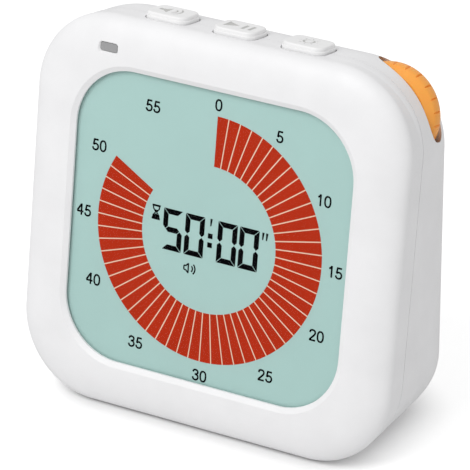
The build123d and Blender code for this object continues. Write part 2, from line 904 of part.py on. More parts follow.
def battery_door():
    """Door with a hinge barrel and pins at its foot, two catches and a grip at its top."""
    plate = block(rectangle(-door_half, door_half, door_low, door_high, door_corner), door_face, back_y)
    plate -= block(rectangle(-door_half, door_half, door_low, hinge_z), door_face, back_y)
    above = block(rectangle(-door_half, door_half, hinge_z, door_high), 0, door_face)
    plate += hinge_rod(barrel_radius, door_half) - above
    plate += hinge_rod(door_pin_radius, door_half + door_pin_length)
    high = bay_high - catch_gap
    for side in (-1, 1):
        middle = side * catch_x
        catch = rectangle(middle - catch_width / 2, middle + catch_width / 2, high - catch_thickness, high)
        plate += block(catch, door_face - catch_length, door_face + catch_root)
    for step in range(grip_grooves):
        z = door_high - grip_end - grip_pitch * step
        groove = Pos(0, z) * RectangleRounded(grip_width, grip_height, 0.45 * grip_height)
        plate -= block(groove, back_y - grip_depth, back_y + reach_out)
    return plate


def cell(row):
    """One AAA size cell; every other cell lies the other way round."""
    way = -1 if row % 2 else 1
    z = cell_heights[row]
    nub_end = plate_face
    shoulder = nub_end - cell_nub
    tail = nub_end - cell_length

    def rod(radius, low, high):
        start, end = sorted((-way * low, -way * high))
        plane = Plane(origin=(start, cell_y, z), z_dir=(1, 0, 0))
        return extrude(plane * Circle(radius), end - start)

    body = rod(cell_radius, tail, shoulder)
    body = fillet(body.edges().filter_by(GeomType.CIRCLE), cell_edge)
    return body + rod(cell_nub_radius, shoulder - cell_edge, nub_end)


def battery_plates():
    """A contact plate at both ends of each cell."""
    plates = []
    for z in cell_heights:
        for side in (-1, 1):
            low, high = sorted((side * plate_face, side * bay_half))
            shape = rectangle(low, high, z - plate_half, z + plate_half)
            plates.append(block(shape, cell_y - plate_half, cell_y + plate_half))
    return Compound(children=plates)


def battery_springs():
    """A cone spring behind the flat end of each cell."""
    springs = []
    height = spring_length - 2 * (spring_wire + spring_gap)
    for row, z in enumerate(cell_heights):
        way = -1 if row % 2 else 1
        path = Helix(
            pitch=height / spring_turns,
            height=height,
            radius=spring_radius,
            center=(way * (plate_face - spring_wire - spring_gap), cell_y, z),
            direction=(-way, 0, 0),
            cone_angle=spring_cone,
        )
        section = Plane(origin=path @ 0, z_dir=path % 0) * Circle(spring_wire)
        springs.append(sweep(section, path=path, is_frenet=True))
    return Compound(children=springs)


def wire(start, x, end_v):
    """Insulated wire that leaves its piece to the front and comes down square on the main board."""
    start_y, start_z = start
    points = [
        (x, start_y, start_z),
        (x, start_y - lead_stub, start_z),
        place(x, end_v, board_back + lead_rise),
        place(x, end_v, board_back),
    ]
    path = FilletPolyline(*points, radius=lead_bend)
    section = Plane(origin=path @ 0, z_dir=path % 0) * Circle(lead_radius)
    return sweep(section, path=path)


def battery_leads():
    """Two insulated wires from the battery box to the main board."""
    start = (bay_front - bay_wall, battery_lead_z)
    end_v = (battery_lead_z - battery_lead_fall - face_z) / cos(lean)
    places = (battery_lead_x, battery_lead_x + battery_lead_pitch)
    return Compound(children=[wire(start, x, end_v) for x in places])


# ---------------------------------------------------------------- speaker


def speaker():
    """Round capsule with a stepped rear and a hollow cone."""
    step_y = speaker_front + speaker_step
    body = block(disc(0, speaker_z, speaker_radius), step_y, speaker_back)
    body += block(disc(0, speaker_z, speaker_radius - speaker_step_width), speaker_front, step_y)
    cone = disc(0, speaker_z, speaker_hole - cone_gap)
    return body - block(cone, speaker_back - cone_depth, speaker_back)


def speaker_gasket():
    ring = disc(0, speaker_z, speaker_radius) - disc(0, speaker_z, speaker_radius - gasket_width)
    return block(ring, speaker_back, seat_y)


def speaker_leads():
    """Two insulated wires from the speaker to the main board."""
    start = (speaker_front, speaker_z - speaker_lead_drop)
    places = (-speaker_lead_x, speaker_lead_x)
    return Compound(children=[wire(start, x, speaker_lead_v) for x in places])


# ---------------------------------------------------------------- screws and feet


def screw(x, v, seat, tip, radius, head_radius, head_height):
    """Pan head screw along the face's depth, with a cross recess."""
    body = slab(disc(x, v, radius), tip, seat)
    head = slab(disc(x, v, head_radius), seat, seat + head_height)
    head = fillet(head.faces().sort_by(into_face)[-1].edges(), head_round * head_height)
    arm = 2 * cross_reach * head_radius
    across = cross_width * head_radius
    cross = Rectangle(arm, across) + Rectangle(across, arm)
    head -= slab(Pos(x, v) * cross, seat + cross_floor * head_height, seat + head_height)
    return body + head


def case_screws():
    sizes = (screw_radius, screw_head_radius, screw_head_height)
    return Compound(children=[screw(x, v, head_seat, screw_tip, *sizes) for x, v in boss_places])


def frame_screws():
    sizes = (small_screw_radius, small_head_radius, small_head_height)
    screws = [screw(x, v, frame_back_face, frame_screw_tip, *sizes) for x, v in ear_places]
    return Compound(children=screws)


def board_screws():
    sizes = (small_screw_radius, small_head_radius, small_head_height)
    screws = [screw(x, v, board_back, board_screw_tip, *sizes) for x, v in board_screw_places]
    return Compound(children=screws)


def rubber_feet():
    feet = []
    for x, y in foot_places:
        foot = Pos(x, y, 0) * extrude(Circle(foot_radius), foot_thickness)
        feet.append(fillet(foot.edges().sort_by(Axis.Z)[0], foot_edge))
    return Compound(children=feet)


# ---------------------------------------------------------------- all the pieces

pieces = {
    "front_case": front_case(),
    "rear_case": rear_case(),
    "display_window": display_window(),
    "dial_film": dial_film(),
    "lcd_panel": lcd_panel(),
    "lcd_frame": lcd_frame(),
    "backlight_panel": backlight_panel(),
    "backlight_leds": backlight_leds(),
    "contact_strips": contact_strips(),
    "main_board": main_board(),
    "timer_chip": timer_chip(),
    "crystal_can": crystal_can(),
    "capacitors": capacitors(),
    "indicator_led": indicator_led(),
    "lamp_lens": lamp_lens(),
    "button_board": button_board(),
    "button_ribbon": button_ribbon(),
    "knob_wheel": knob_wheel(),
    "knob_shaft": knob_shaft(),
    "encoder_body": encoder_body(),
    "battery_door": battery_door(),
    "battery_bottom": cell(0),
    "battery_middle": cell(1),
    "battery_top": cell(2),
    "battery_plates": battery_plates(),
    "battery_springs": battery_springs(),
    "battery_leads": battery_leads(),
    "speaker": speaker(),
    "speaker_gasket": speaker_gasket(),
    "speaker_leads": speaker_leads(),
    "case_screws": case_screws(),
    "frame_screws": frame_screws(),
    "board_screws": board_screws(),
    "rubber_feet": rubber_feet(),
}
for key_name, key_x in key_places.items():
    pieces[f"{key_name}_button"] = key_cap(key_name)
    pieces[f"{key_name}_switch"] = switch_body(key_x)
    pieces[f"{key_name}_plunger"] = switch_plunger(key_x)

os.makedirs("parts", exist_ok=True)
for node, piece in pieces.items():
    export_step(piece, f"parts/{node}.step")
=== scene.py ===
# %% [markdown]
# # A visual countdown timer, dressed in Blender
#
# The timer comes in as solid parts from a CAD model: shells, keys, wheel, screen and everything inside.
# Here each part gets its finish, and the screen gets its print.  The work runs from the large forms to
# the small marks: shells, keys, wheel, screen, inside parts, and at the end the light and the camera.
# Everything is in metres and stands where the CAD model puts it.

# %% Load the parts
from math import copysign, cos, pi, radians, sin

import bmesh
import bpy
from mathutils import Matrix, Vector


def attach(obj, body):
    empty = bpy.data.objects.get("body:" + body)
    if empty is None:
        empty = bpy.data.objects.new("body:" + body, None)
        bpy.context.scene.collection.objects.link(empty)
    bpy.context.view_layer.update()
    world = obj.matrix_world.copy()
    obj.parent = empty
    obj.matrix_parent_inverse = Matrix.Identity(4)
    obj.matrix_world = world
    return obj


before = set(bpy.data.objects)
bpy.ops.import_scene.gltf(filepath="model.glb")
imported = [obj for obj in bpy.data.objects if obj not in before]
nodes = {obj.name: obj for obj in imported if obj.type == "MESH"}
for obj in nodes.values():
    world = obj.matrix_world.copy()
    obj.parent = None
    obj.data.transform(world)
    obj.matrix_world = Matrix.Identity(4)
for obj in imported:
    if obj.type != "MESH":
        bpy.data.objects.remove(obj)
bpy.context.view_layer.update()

MM = 0.001


# %% [markdown]
# ## Working along the leaning face
#
# The face of the timer leans back by a few degrees, and so does all that is printed on it.  One could
# model the print flat and then turn each object, but every turn is a chance to miss.  It is simpler to
# have one function that takes a place on the face (across, up, and how deep behind the face) and gives
# the point in the room.  The same function serves the roof, where the keys are.  Where the face lies is
# measured on the window, which sits square in it, so nothing has to be typed twice.

# %% Places along the face
LEAN = radians(8.2)
LIP = 1.2  # mm from the face back to the window
ACROSS = Vector((1, 0, 0))
UP_FACE = Vector((0, sin(LEAN), cos(LEAN)))
INTO_FACE = Vector((0, cos(LEAN), -sin(LEAN)))


def reach(name, way):
    """Where a part starts and ends along a direction from the origin, in millimetres."""
    found = [vertex.co.dot(way) / MM for vertex in nodes[name].data.vertices]
    return min(found), max(found)


def middle(name, way):
    return sum(reach(name, way)) / 2


face_up = middle("display_window", UP_FACE)
face_depth = reach("display_window", INTO_FACE)[0] - LIP
film_front = reach("dial_film", INTO_FACE)[0] - face_depth


def on_face(across, up, depth):
    """A point given in millimetres from the middle of the face, in the room's metres."""
    return (ACROSS * across + UP_FACE * (face_up + up) + INTO_FACE * (face_depth + depth)) * MM


print("middle of the face:", [round(part / MM, 3) for part in on_face(0, 0, 0)], "mm")
print("the print lies", round(film_front, 2), "mm behind the face")

# %% [markdown]
# ## Moulded plastic
#
# A moulded part is never one flat colour.  The mould has a fine spark-eroded grain, the gloss changes a
# little where the plastic flowed or where fingers have polished it, and the pigment is not quite even.
# Painting this by hand would need a texture for each part.  Noise nodes in the part's own coordinates do
# it without one: a broad noise moves the colour, a middle one moves the gloss, a fine one is the grain.

# %% A helper for moulded surfaces
NOISE_LOW, NOISE_HIGH = 0.3, 0.7  # nearly all of a noise lies between these


def noise(tree, place, size, detail=4.0):
    """A noise whose features are about this many millimetres wide."""
    node = tree.nodes.new("ShaderNodeTexNoise")
    node.inputs["Scale"].default_value = 1 / (size * MM)
    node.inputs["Detail"].default_value = detail
    tree.links.new(place, node.inputs["Vector"])
    return node.outputs["Fac"]


def spread(tree, value, low, high):
    """Stretch a noise so that it runs from low to high."""
    node = tree.nodes.new("ShaderNodeMapRange")
    node.inputs["From Min"].default_value = NOISE_LOW
    node.inputs["From Max"].default_value = NOISE_HIGH
    node.inputs["To Min"].default_value = low
    node.inputs["To Max"].default_value = high
    tree.links.new(value, node.inputs["Value"])
    return node.outputs["Result"]


def blend_colours(tree, factor, first, second):
    """Mix two colours, each a plain colour or another node's output."""
    node = tree.nodes.new("ShaderNodeMix")
    node.data_type = "RGBA"
    tree.links.new(factor, node.inputs["Factor"])
    for socket, colour in zip(("A", "B"), (first, second)):
        slot = [s for s in node.inputs if s.name == socket and s.type == "RGBA"][0]
        if isinstance(colour, bpy.types.NodeSocket):
            tree.links.new(colour, slot)
        else:
            slot.default_value = (*colour, 1)
    return [s for s in node.outputs if s.type == "RGBA"][0]


def shade(colour, amount):
    """A colour made darker or lighter."""
    return tuple(min(part * amount, 1) for part in colour)


def start_material(name):
    """An empty finish: its node tree, its shader and the part's own coordinates."""
    material = bpy.data.materials.new(name)
    material.use_nodes = True
    tree = material.node_tree
    place = tree.nodes.new("ShaderNodeTexCoord").outputs["Object"]
    return material, tree, tree.nodes["Principled BSDF"], place


def relief(tree, shader, height, depth):
    """Bump from a noise, this many millimetres deep."""
    node = tree.nodes.new("ShaderNodeBump")
    node.inputs["Distance"].default_value = depth * MM
    tree.links.new(height, node.inputs["Height"])
    tree.links.new(node.outputs["Normal"], shader.inputs["Normal"])


def moulded(name, colour, gloss, grain=0.2, depth=0.006, mottle=0.03, cloud=9.0):
    """Plastic, rubber or ink: colour, roughness, grain size and depth, and how uneven the colour is."""
    material, tree, shader, place = start_material(name)
    tint = spread(tree, noise(tree, place, cloud), 0, 1)
    colours = blend_colours(tree, tint, shade(colour, 1 - mottle), shade(colour, 1 + mottle / 2))
    tree.links.new(colours, shader.inputs["Base Color"])
    polish = spread(tree, noise(tree, place, 2.5), gloss * 0.9, gloss * 1.12)
    tree.links.new(polish, shader.inputs["Roughness"])
    relief(tree, shader, noise(tree, place, grain, 2.0), depth)
    return material


print("helper ready: moulded plastic")

# %% [markdown]
# ## The white shells and the keys
#
# The case is two shells of white ABS with a fine satin grain.  The keys come from another mould with a
# smoother polish, so they catch a little more light.  Both are given as one call to the helper: the
# shapes, with their rounded edges and the parting line, are already true in the CAD solids.

# %% White plastics
finishes = {
    "white_shell": moulded("satin_white", (0.872, 0.87, 0.88), 0.42, grain=0.16, depth=0.004),
    "key_white": moulded("key_white_polish", (0.89, 0.888, 0.89), 0.36, grain=0.14, depth=0.002),
}
print("white finishes:", [m.name for m in finishes.values()])

# %% [markdown]
# ## The orange wheel and the grey lamp
#
# The corner wheel is a soft-feel orange, matt and slightly waxy.  Such rubbery plastic scatters light
# under its skin, so it gets a little subsurface light of its own colour.  The lamp at the top left is a
# grey smoked plastic with a harder gloss.  Both come from the same helper, and only the wheel's shader is
# touched up afterwards.

# %% Wheel and lamp
orange = moulded("soft_orange", (0.99, 0.4, 0.06), 0.38, grain=0.12, depth=0.004, mottle=0.05)
wheel_shader = orange.node_tree.nodes["Principled BSDF"]
wheel_shader.inputs["Subsurface Weight"].default_value = 0.12
wheel_shader.inputs["Subsurface Scale"].default_value = 0.6 * MM
finishes["orange_wheel"] = orange
finishes["lamp_grey"] = moulded("smoked_grey", (0.33, 0.33, 0.335), 0.28, grain=0.3, depth=0.002)
print("wheel and lamp done")

# %% [markdown]
# ## The field of the screen
#
# Behind the clear window lies a pale green film, and the glass cell under it shows through as a very
# fine, even speckle.  A noise of a tenth of a millimetre gives the speckle, and a broad one the slight
# unevenness of a liquid crystal screen.  Print under a clear sheet looks deeper than print in the open,
# because only the sheet shines, so the shine of the print itself is taken away.

# %% Screen field


def laminated(name, colour, **looks):
    """Ink or film that lies under a clear sheet: no shine of its own."""
    material = moulded(name, colour, 0.5, depth=0.001, **looks)
    material.node_tree.nodes["Principled BSDF"].inputs["Specular IOR Level"].default_value = 0.0
    return material


field = laminated("screen_green", (0.45, 0.653, 0.62), grain=0.1, mottle=0.02, cloud=20.0)
finishes["dial_print"] = field
print("screen field done")

# %% [markdown]
# ## The clear window
#
# The window is a thin sheet that should show what lies behind it and add only a faint reflection.  A
# glass shader would bend the light and darken the print, because light that passes through glass has to
# find its own way back to the lamps.  A mix of a transparent and a glossy shader, steered by the angle
# of view through a Fresnel node, does what a thin coated sheet does, at once and without noise.

# %% Clear window
COATED_IOR = 1.08  # plain plastic has about 1.5; a coating takes most of the reflection away

window = bpy.data.materials.new("clear_sheet")
window.use_nodes = True
tree = window.node_tree
tree.nodes.remove(tree.nodes["Principled BSDF"])
fresnel = tree.nodes.new("ShaderNodeFresnel")
fresnel.inputs["IOR"].default_value = COATED_IOR
clear = tree.nodes.new("ShaderNodeBsdfTransparent")
gloss = tree.nodes.new("ShaderNodeBsdfGlossy")
place = tree.nodes.new("ShaderNodeTexCoord").outputs["Object"]
tree.links.new(spread(tree, noise(tree, place, 3.0), 0.04, 0.09), gloss.inputs["Roughness"])
both = tree.nodes.new("ShaderNodeMixShader")
tree.links.new(fresnel.outputs["Fac"], both.inputs["Fac"])
tree.links.new(clear.outputs["BSDF"], both.inputs[1])
tree.links.new(gloss.outputs["BSDF"], both.inputs[2])
tree.links.new(both.outputs["Shader"], tree.nodes["Material Output"].inputs["Surface"])
finishes["clear_window"] = window
print("window done")

# %% [markdown]
# ## Metals inside
#
# The screws, springs and battery plates are plated steel, and the cans on the board drawn aluminium.
# Metal could be a plain shiny colour, but rolling and turning leave a fine grain along one direction.  A
# noise that is stretched along one axis gives it, and moves the colour, the gloss and the relief at once.

# %% Metals


def metal(name, colour, gloss, stretch=(1, 1, 14)):
    """Bare metal with a grain that is drawn out along one direction."""
    material, tree, shader, place = start_material(name)
    drawn = tree.nodes.new("ShaderNodeMapping")
    drawn.inputs["Scale"].default_value = stretch
    tree.links.new(place, drawn.inputs["Vector"])
    streaks = noise(tree, drawn.outputs["Vector"], 0.8)
    colours = blend_colours(tree, spread(tree, streaks, 0, 1), shade(colour, 0.9), colour)
    tree.links.new(colours, shader.inputs["Base Color"])
    shader.inputs["Metallic"].default_value = 1.0
    tree.links.new(spread(tree, streaks, gloss * 0.8, gloss * 1.3), shader.inputs["Roughness"])
    relief(tree, shader, streaks, 0.003)
    return material


finishes["steel"] = metal("plated_steel", (0.62, 0.61, 0.6), 0.3)
finishes["can_aluminium"] = metal("drawn_aluminium", (0.75, 0.76, 0.77), 0.24, (14, 14, 1))
print("metals done")

# %% [markdown]
# ## Plastics, rubbers and foam inside
#
# These are seen only when the timer is opened or drawn apart, but each is a real material: the milky tray
# and light guide, the glass, rubber strips and feet, foam, resin and wire.  The helper for moulded parts
# makes them all, so each is one line that says how glossy, how coarse and how uneven it is.

# %% Plastics, rubbers and foam
inner = {
    "inner_plastic": moulded("milky_plastic", (0.74, 0.74, 0.72), 0.5, grain=0.4, depth=0.01),
    "light_guide": moulded("milky_guide", (0.82, 0.86, 0.84), 0.2, grain=0.9, depth=0.004),
    "panel_glass": moulded("screen_glass", (0.16, 0.2, 0.18), 0.08, grain=2.0, depth=0.001),
    "led": moulded("led_resin", (0.86, 0.8, 0.52), 0.22, grain=0.5, depth=0.003),
    "dark_rubber": moulded("contact_rubber", (0.03, 0.03, 0.032), 0.7, grain=0.15, depth=0.01, mottle=0.2),
    "black_plastic": moulded("black_resin", (0.018, 0.018, 0.02), 0.45, grain=0.2, mottle=0.2),
    "foam": moulded("black_foam", (0.05, 0.05, 0.055), 0.9, grain=0.35, depth=0.12, mottle=0.3),
    "red_wire": moulded("wire_red", (0.5, 0.025, 0.02), 0.38, grain=0.6, depth=0.006),
    "foot_rubber": moulded("foot_grey", (0.3, 0.3, 0.31), 0.8, grain=0.18, depth=0.012, mottle=0.12),
}
finishes.update(inner)
print("inside finishes:", len(inner))

# %% [markdown]
# ## Circuit board
#
# A circuit board is green lacquer over a glass weave, and looks lighter where copper lies under it.  Its
# tracks could be drawn one by one, but deep inside the timer a hint is enough: a coarse noise for the
# patches of copper, and a wavy pattern for the weave under the lacquer.

# %% Circuit board
board, tree, shader, place = start_material("green_lacquer")
weave = tree.nodes.new("ShaderNodeTexWave")
weave.inputs["Scale"].default_value = 1 / (3 * MM)
weave.inputs["Distortion"].default_value = 1.2
tree.links.new(place, weave.inputs["Vector"])
copper = spread(tree, noise(tree, place, 6.0, 0.0), 0, 1)
lacquer = blend_colours(tree, copper, (0.012, 0.11, 0.035), (0.03, 0.2, 0.07))
tree.links.new(lacquer, shader.inputs["Base Color"])
tree.links.new(spread(tree, noise(tree, place, 1.0), 0.26, 0.4), shader.inputs["Roughness"])
relief(tree, shader, weave.outputs["Fac"], 0.006)
finishes["board"] = board
print("board done")

# %% [markdown]
# ## Battery jackets
#
# A cell has a printed jacket with a plain band at each end.  The band is a step in colour, and a step
# needs a place: the distance from the middle of the cell, found with the absolute value of its x.  That
# way the same finish suits the cells that lie the other way round.

# %% Battery jacket
BAND_START = 14.5  # mm from the middle of the cell

jacket, tree, shader, place = start_material("cell_print")
axes = tree.nodes.new("ShaderNodeSeparateXYZ")
tree.links.new(place, axes.inputs["Vector"])
from_middle = tree.nodes.new("ShaderNodeMath")
from_middle.operation = "ABSOLUTE"
tree.links.new(axes.outputs["X"], from_middle.inputs[0])
end_band = tree.nodes.new("ShaderNodeMath")
end_band.operation = "GREATER_THAN"
end_band.inputs[1].default_value = BAND_START * MM
tree.links.new(from_middle.outputs["Value"], end_band.inputs[0])
cloud = spread(tree, noise(tree, place, 4.0), 0, 1)
cloudy = blend_colours(tree, cloud, (0.02, 0.09, 0.16), (0.03, 0.12, 0.2))
banded = blend_colours(tree, end_band.outputs["Value"], cloudy, (0.5, 0.51, 0.52))
tree.links.new(banded, shader.inputs["Base Color"])
shader.inputs["Metallic"].default_value = 0.35
tree.links.new(spread(tree, noise(tree, place, 1.5), 0.22, 0.36), shader.inputs["Roughness"])
relief(tree, shader, noise(tree, place, 0.5, 2.0), 0.004)
finishes["cell_jacket"] = jacket
print("battery jacket done")

# %% [markdown]
# ## Put the finishes on the parts
#
# Each CAD part names the finish it is made in.  Picking each part out by hand would work too, but the
# names are already there: the slot is filled with the finish of that name, and the solid itself is left
# as it is.

# %% Assign
for name, part in nodes.items():
    for slot in part.material_slots:
        slot.material = finishes[slot.material.name]
print("dressed:", len(nodes), "parts in", len(finishes), "finishes")

# %% [markdown]
# ## A way to print
#
# The wedges, lines, numbers and digits are ink and liquid crystal: flat shapes with crisp edges, about
# three hundredths of a millimetre thick.  They could be painted with shader maths, but crisp numerals
# are hard to write as formulas.  As thin solid plates they keep their edges at any zoom.  One helper
# takes outlines, drawn in millimetres on a plane, and lifts them into plates.

# %% Plates from outlines
INK = 0.03  # mm that the ink stands out
SUNK = 0.01  # mm that a plate reaches into what it lies on


def plates(name, outlines, to_room, finish, high=INK, body="case"):
    """Thin solid plates from outlines in a plane; to_room says where a place on it lies."""
    mesh = bmesh.new()
    for outline in outlines:
        under = [mesh.verts.new(to_room(a, b, -SUNK)) for a, b in outline]
        over = [mesh.verts.new(to_room(a, b, high)) for a, b in outline]
        mesh.faces.new(over)
        mesh.faces.new(under[::-1])
        for step, corner in enumerate(under):
            after = (step + 1) % len(under)
            mesh.faces.new([corner, under[after], over[after], over[step]])
    bmesh.ops.recalc_face_normals(mesh, faces=mesh.faces)
    data = bpy.data.meshes.new(name)
    mesh.to_mesh(data)
    mesh.free()
    data.materials.append(finish)
    piece = bpy.data.objects.new(name, data)
    bpy.context.scene.collection.objects.link(piece)
    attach(piece, body)


DIAL_UP = -0.4  # the dial's centre lies a little below the middle of the face


def on_dial(across, up, height):
    """A place on the dial, from its centre; height is towards the eye from the film."""
    return on_face(across, DIAL_UP + up, film_front - height)


red_ink = laminated("wedge_red", (0.5, 0.035, 0.0115), grain=0.12, mottle=0.05)
cream_ink = laminated("line_cream", (0.86, 0.66, 0.5), grain=0.12)
black_ink = laminated("crystal_black", (0.003, 0.003, 0.004), grain=0.12, mottle=0.3)
print("inks ready")

# %% [markdown]
# ## The minute ring
#
# Sixty minutes go round the dial, and fifty of them are still to run: one red wedge each, from the top
# round to the right, with a thin cream line between neighbours.  An array of one wedge would turn the
# gaps into wedges too.  Here the lines keep the same width from the inside to the outside, as in print,
# and each wedge takes up the rest of its minute.

# %% Wedges and lines
RING_LOW, RING_HIGH = 15.9, 26.67
LINE_WIDTH = 0.24
MINUTES = 50
ARC_STEPS = 3


def at_minute(minute, radius, aside=0.0):
    """A point at a minute of the dial; aside moves it square to the radius, in millimetres."""
    turn = 2 * pi * minute / 60
    return (radius * sin(turn) + aside * cos(turn), radius * cos(turn) - aside * sin(turn))


def wedge(minute):
    """One minute, from half a line's width past its start to the same before its end."""
    outline = []
    for radius, steps in ((RING_LOW, range(ARC_STEPS + 1)), (RING_HIGH, range(ARC_STEPS, -1, -1))):
        for step in steps:
            share = step / ARC_STEPS
            outline.append(at_minute(minute + share, radius, LINE_WIDTH * (0.5 - share)))
    return outline


def line(minute):
    half = LINE_WIDTH / 2
    corners = ((RING_LOW, -half), (RING_HIGH, -half), (RING_HIGH, half), (RING_LOW, half))
    return [at_minute(minute, *corner) for corner in corners]


plates("minute_wedges", [wedge(minute) for minute in range(MINUTES)], on_dial, red_ink)
plates("minute_lines", [line(minute) for minute in range(1, MINUTES)], on_dial, cream_ink)
print("wedges:", MINUTES, "lines:", MINUTES - 1)

# %% [markdown]
# ## Figures from strokes
#
# The numbers are plain sans-serif figures.  A text object would bring its own font; six figures are soon
# drawn as strokes instead, which also gives the even weight of a printed dial.  Each stroke is a line
# through a few points, smoothed where the figure is round, and then given its width.

# %% Strokes


def smooth(points, parts=6):
    """A soft curve through the points."""
    full = [points[0], *points, points[-1]]
    path = []
    for nearby in zip(full, full[1:], full[2:], full[3:]):
        for step in range(parts):
            path.append(tuple(between(*along, step / parts) for along in zip(*nearby)))
    return path + [points[-1]]


def between(p, q, r, s, t):
    """Catmull-Rom: a share t of the way from q to r, with p and s as the neighbours."""
    bend = 2 * p - 5 * q + 4 * r - s
    twist = 3 * q - p - 3 * r + s
    return q + ((r - p) * t + bend * t**2 + twist * t**3) / 2


def stroke(path, width):
    """Outline of a line of even width."""
    left, right = [], []
    for step, here in enumerate(path):
        before, after = path[max(step - 1, 0)], path[min(step + 1, len(path) - 1)]
        run = Vector(after) - Vector(before)
        side = Vector((-run.y, run.x)).normalized() * width / 2
        left.append((here[0] + side.x, here[1] + side.y))
        right.append((here[0] - side.x, here[1] - side.y))
    return left + right[::-1]


def arc(radius, half_turn, facing=0.0, steps=10):
    """The path of a round stroke, to both sides of the way it faces."""
    turns = [facing - half_turn + 2 * half_turn * step / steps for step in range(steps + 1)]
    return [(radius * cos(turn), radius * sin(turn)) for turn in turns]


def bow(half_wide, half_high, start, end, steps=14):
    """Part of the rounded form of a nought, between two turns in degrees."""
    turns = [radians(start + (end - start) * step / steps) for step in range(steps + 1)]
    return [(half_wide * fuller(cos(turn)), half_high * fuller(sin(turn))) for turn in turns]


def fuller(share):
    """Push a sine or cosine out a little, which makes a circle squarer."""
    return copysign(abs(share) ** 0.85, share)


FIGURES = {
    "0": [bow(0.27, 0.44, -90, 90), bow(0.27, 0.44, 90, 270)],
    "1": [[(0.07, -0.5), (0.07, 0.5)], smooth([(-0.18, 0.24), (-0.04, 0.32), (0.06, 0.47)])],
    "2": [
        smooth([(-0.26, 0.2), (-0.19, 0.38), (0, 0.44), (0.19, 0.38), (0.25, 0.21), (0.15, 0.01),
                (-0.27, -0.42)]),
        [(-0.31, -0.44), (0.3, -0.44)],
    ],
    "3": [
        smooth([(-0.25, 0.23), (-0.17, 0.39), (0, 0.44), (0.18, 0.38), (0.23, 0.24), (0.14, 0.09),
                (-0.06, 0.05)]),
        smooth([(-0.06, 0.05), (0.17, 0.0), (0.27, -0.18), (0.19, -0.37), (0, -0.44), (-0.19, -0.38),
                (-0.27, -0.2)]),
    ],
    "4": [
        [(0.13, -0.5), (0.13, 0.5)],
        [(0.11, 0.47), (-0.29, -0.14)],
        [(-0.33, -0.18), (0.33, -0.18)],
    ],
    "5": [
        [(-0.17, 0.44), (0.27, 0.44)],
        [(-0.13, 0.49), (-0.21, -0.03)],
        smooth([(-0.22, -0.02), (-0.02, 0.09), (0.19, 0.02), (0.27, -0.16), (0.19, -0.37), (-0.02, -0.44),
                (-0.2, -0.38), (-0.28, -0.21)]),
    ],
}
print("figures drawn:", len(FIGURES))

# %% [markdown]
# ## Numbers round the dial
#
# Every fifth minute has its number.  They could stand on one circle, but a wide number would then come
# closer to the wedges than a slim one.  So most stand a little further out, and each has its own place,
# in millimetres from the centre.  Height, width, weight and spacing of the figures are the same for all.

# %% Numbers
FIGURE_HIGH = 2.5
FIGURE_SLIM = 0.95  # narrower than drawn
FIGURE_WEIGHT = 0.155  # of a stroke, as a share of the height
FIGURE_STEP = 0.73  # from figure to figure, as a share of the height
NUMBER_PLACES = {
    "0": (0.17, 29.07), "5": (14.78, 25.43), "10": (25.93, 14.31), "15": (29.78, -0.08),
    "20": (26.81, -14.49), "25": (15.73, -25.99), "30": (0.25, -29.78), "35": (-15.65, -26.22),
    "40": (-26.87, -14.82), "45": (-30.16, -0.22), "50": (-27.43, 14.53), "55": (-15.22, 25.61),
}


def moved(outline, across, up):
    return [(across + a, up + b) for a, b in outline]


def number(text, across, up):
    """The outlines of a number, centred on its place."""
    outlines = []
    for order, figure in enumerate(text):
        shift = (order - (len(text) - 1) / 2) * FIGURE_STEP
        for path in FIGURES[figure]:
            outline = stroke([(a * FIGURE_SLIM, b) for a, b in path], FIGURE_WEIGHT)
            outline = [((a + shift) * FIGURE_HIGH, b * FIGURE_HIGH) for a, b in outline]
            outlines.append(moved(outline, across, up))
    return outlines


numerals = [outline for text, spot in NUMBER_PLACES.items() for outline in number(text, *spot)]
plates("minute_numbers", numerals, on_dial, black_ink)
print("numbers:", len(NUMBER_PLACES))

# %% [markdown]
# ## The time in liquid crystal
#
# The time is shown by upright seven-segment digits.  Every segment is a bar with slanted ends and a
# hair of clear space to its neighbour.  Each digit could be drawn on its own, but then its bars would
# have to match by luck.  The bars are drawn once for one cell and then moved to each digit's place.

# %% Seven-segment digits
DIGIT_WIDE, DIGIT_HIGH = 4.6, 8.95
BAR, HAIR = 1.15, 0.09  # a bar's thickness, and how far its ends are drawn in
LIT = {
    "5": "top upper_left middle lower_right bottom",
    "0": "top upper_left upper_right lower_left lower_right bottom",
}
DIGITS = (("5", -8.6), ("0", -3.33), ("0", 4.43), ("0", 9.57))
DIGITS_UP = 0.2
DOT = 0.55  # half a dot of the colon
COLON_ACROSS = 0.42
COLON_UPS = (0.95, -1.0)


def bars():
    """The outlines of the seven bars, around the middle of the digit."""
    wide, high = DIGIT_WIDE / 2, DIGIT_HIGH / 2
    top = [
        (-wide + HAIR, high), (wide - HAIR, high),
        (wide - BAR - HAIR, high - BAR), (BAR - wide + HAIR, high - BAR),
    ]
    side = [
        (-wide, high - HAIR), (BAR - wide, high - BAR - HAIR), (BAR - wide, BAR / 2 + HAIR),
        (BAR / 2 - wide, HAIR), (-wide, BAR / 2 + HAIR),
    ]
    tip, end = BAR / 2 - wide + HAIR, BAR - wide + HAIR
    half = BAR / 2
    waist = [(tip, 0), (end, half), (-end, half), (-tip, 0), (-end, -half), (end, -half)]
    return {
        "top": top,
        "bottom": [(a, -b) for a, b in top],
        "upper_left": side,
        "upper_right": [(-a, b) for a, b in side],
        "lower_left": [(a, -b) for a, b in side],
        "lower_right": [(-a, -b) for a, b in side],
        "middle": waist,
    }


shapes = bars()
lit = [moved(shapes[bar], across, DIGITS_UP) for digit, across in DIGITS for bar in LIT[digit].split()]
dot = [(-DOT, -DOT), (DOT, -DOT), (DOT, DOT), (-DOT, DOT)]
lit += [moved(dot, COLON_ACROSS, up) for up in COLON_UPS]
plates("time_digits", lit, on_dial, black_ink)
print("lit segments:", len(lit))

